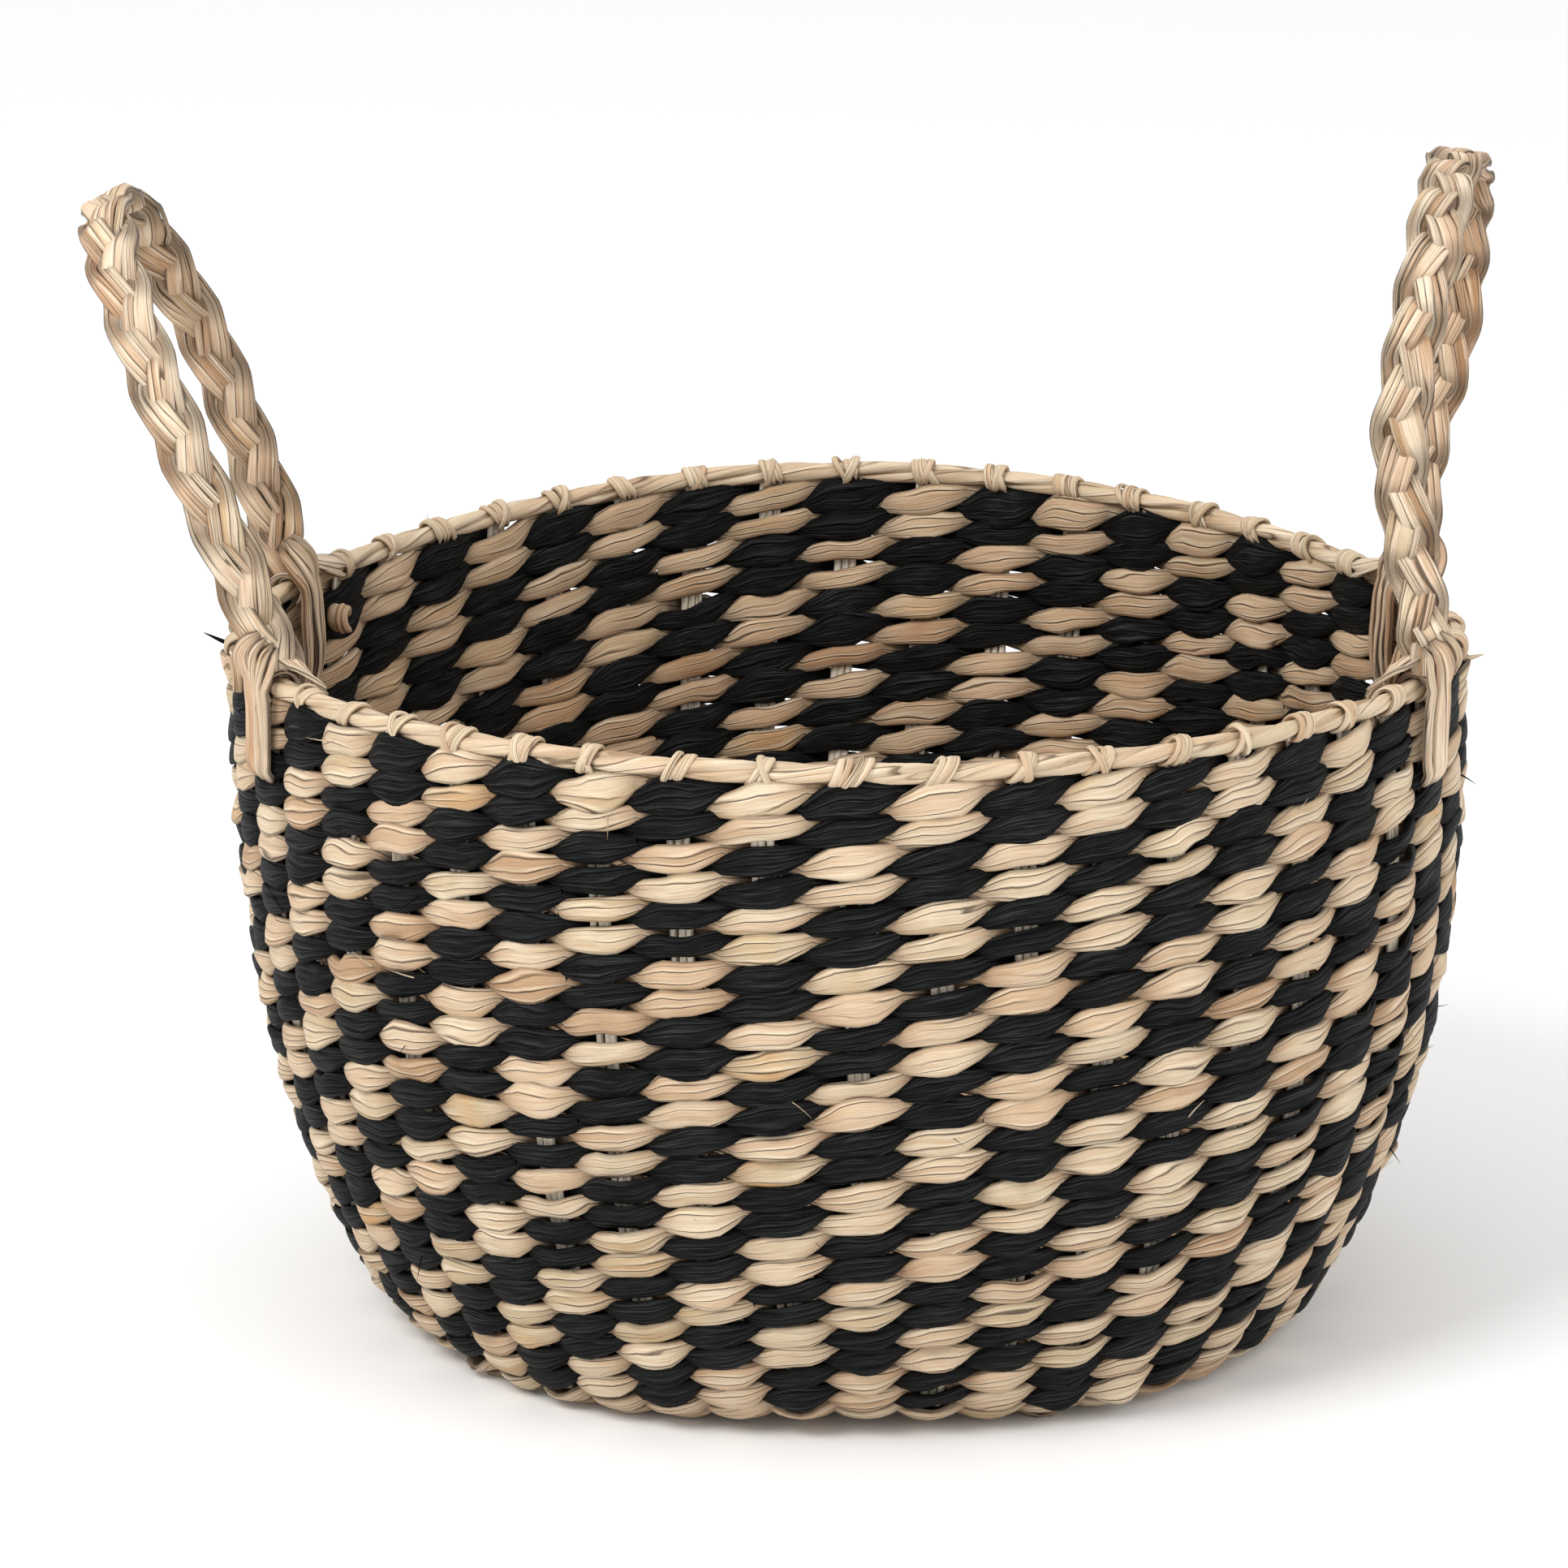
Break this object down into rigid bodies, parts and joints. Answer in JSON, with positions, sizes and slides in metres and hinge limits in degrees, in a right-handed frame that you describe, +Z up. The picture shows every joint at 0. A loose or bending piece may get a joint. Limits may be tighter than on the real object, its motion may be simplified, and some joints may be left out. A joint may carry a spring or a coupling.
{
  "type": "woven market basket",
  "caption": "Round straw market basket twined in natural and black blocks, with a corded rim and two plaited loop handles that bend at the rim.",
  "frame": {"origin": "centre of the underside of the base, on the surface the basket stands on", "axes": "+Z up through the open mouth; the handles are at -X and +X; -Y is the front"},
  "size_m": [0.4617, 0.4078, 0.3921],
  "materials": {
    "natural_straw": "dry straw with a faint sheen",
    "black_straw": "black dyed straw with a faint sheen"
  },
  "bodies": {
    "basket": {"stake_cage": "natural_straw", "base_mat_lower": "natural_straw", "base_mat_upper": "natural_straw", "base_border_outer": "natural_straw", "base_border_inner": "natural_straw", "natural_weft_01": "natural_straw", "black_weft_01": "black_straw", "natural_weft_02": "natural_straw", "black_weft_02": "black_straw", "natural_weft_03": "natural_straw", "black_weft_03": "black_straw", "natural_weft_04": "natural_straw", "black_weft_04": "black_straw", "natural_weft_05": "natural_straw", "black_weft_05": "black_straw", "natural_weft_06": "natural_straw", "black_weft_06": "black_straw", "natural_weft_07": "natural_straw", "black_weft_07": "black_straw", "natural_weft_08": "natural_straw", "black_weft_08": "black_straw", "natural_weft_09": "natural_straw", "black_weft_09": "black_straw", "natural_weft_10": "natural_straw", "black_weft_10": "black_straw", "natural_weft_11": "natural_straw", "black_weft_11": "black_straw", "natural_weft_12": "natural_straw", "black_weft_12": "black_straw", "rim_cord": "natural_straw", "rim_lashing": "natural_straw", "left_handle_front_fold": "natural_straw", "left_handle_front_tail_outer": "natural_straw", "left_handle_front_tail_inner": "natural_straw", "left_handle_back_fold": "natural_straw", "left_handle_back_tail_outer": "natural_straw", "left_handle_back_tail_inner": "natural_straw", "right_handle_front_fold": "natural_straw", "right_handle_front_tail_outer": "natural_straw", "right_handle_front_tail_inner": "natural_straw", "right_handle_back_fold": "natural_straw", "right_handle_back_tail_outer": "natural_straw", "right_handle_back_tail_inner": "natural_straw"},
    "left_handle": {"left_handle_strand_a": "natural_straw", "left_handle_strand_b": "natural_straw", "left_handle_strand_c": "natural_straw"},
    "right_handle": {"right_handle_strand_a": "natural_straw", "right_handle_strand_b": "natural_straw", "right_handle_strand_c": "natural_straw"}
  },
  "joints": [
    {"name": "left_handle_swing", "type": "hinge", "parent": "basket", "child": "left_handle", "pos_m": [-0.18846, -0.00411, 0.24], "axis": [-0.0218, 0.9998, 0], "range_deg": [-40, 80]},
    {"name": "right_handle_swing", "type": "hinge", "parent": "basket", "child": "right_handle", "pos_m": [0.18846, -0.00411, 0.24], "axis": [0.0218, 0.9998, 0], "range_deg": [-65, 55]}
  ]
}
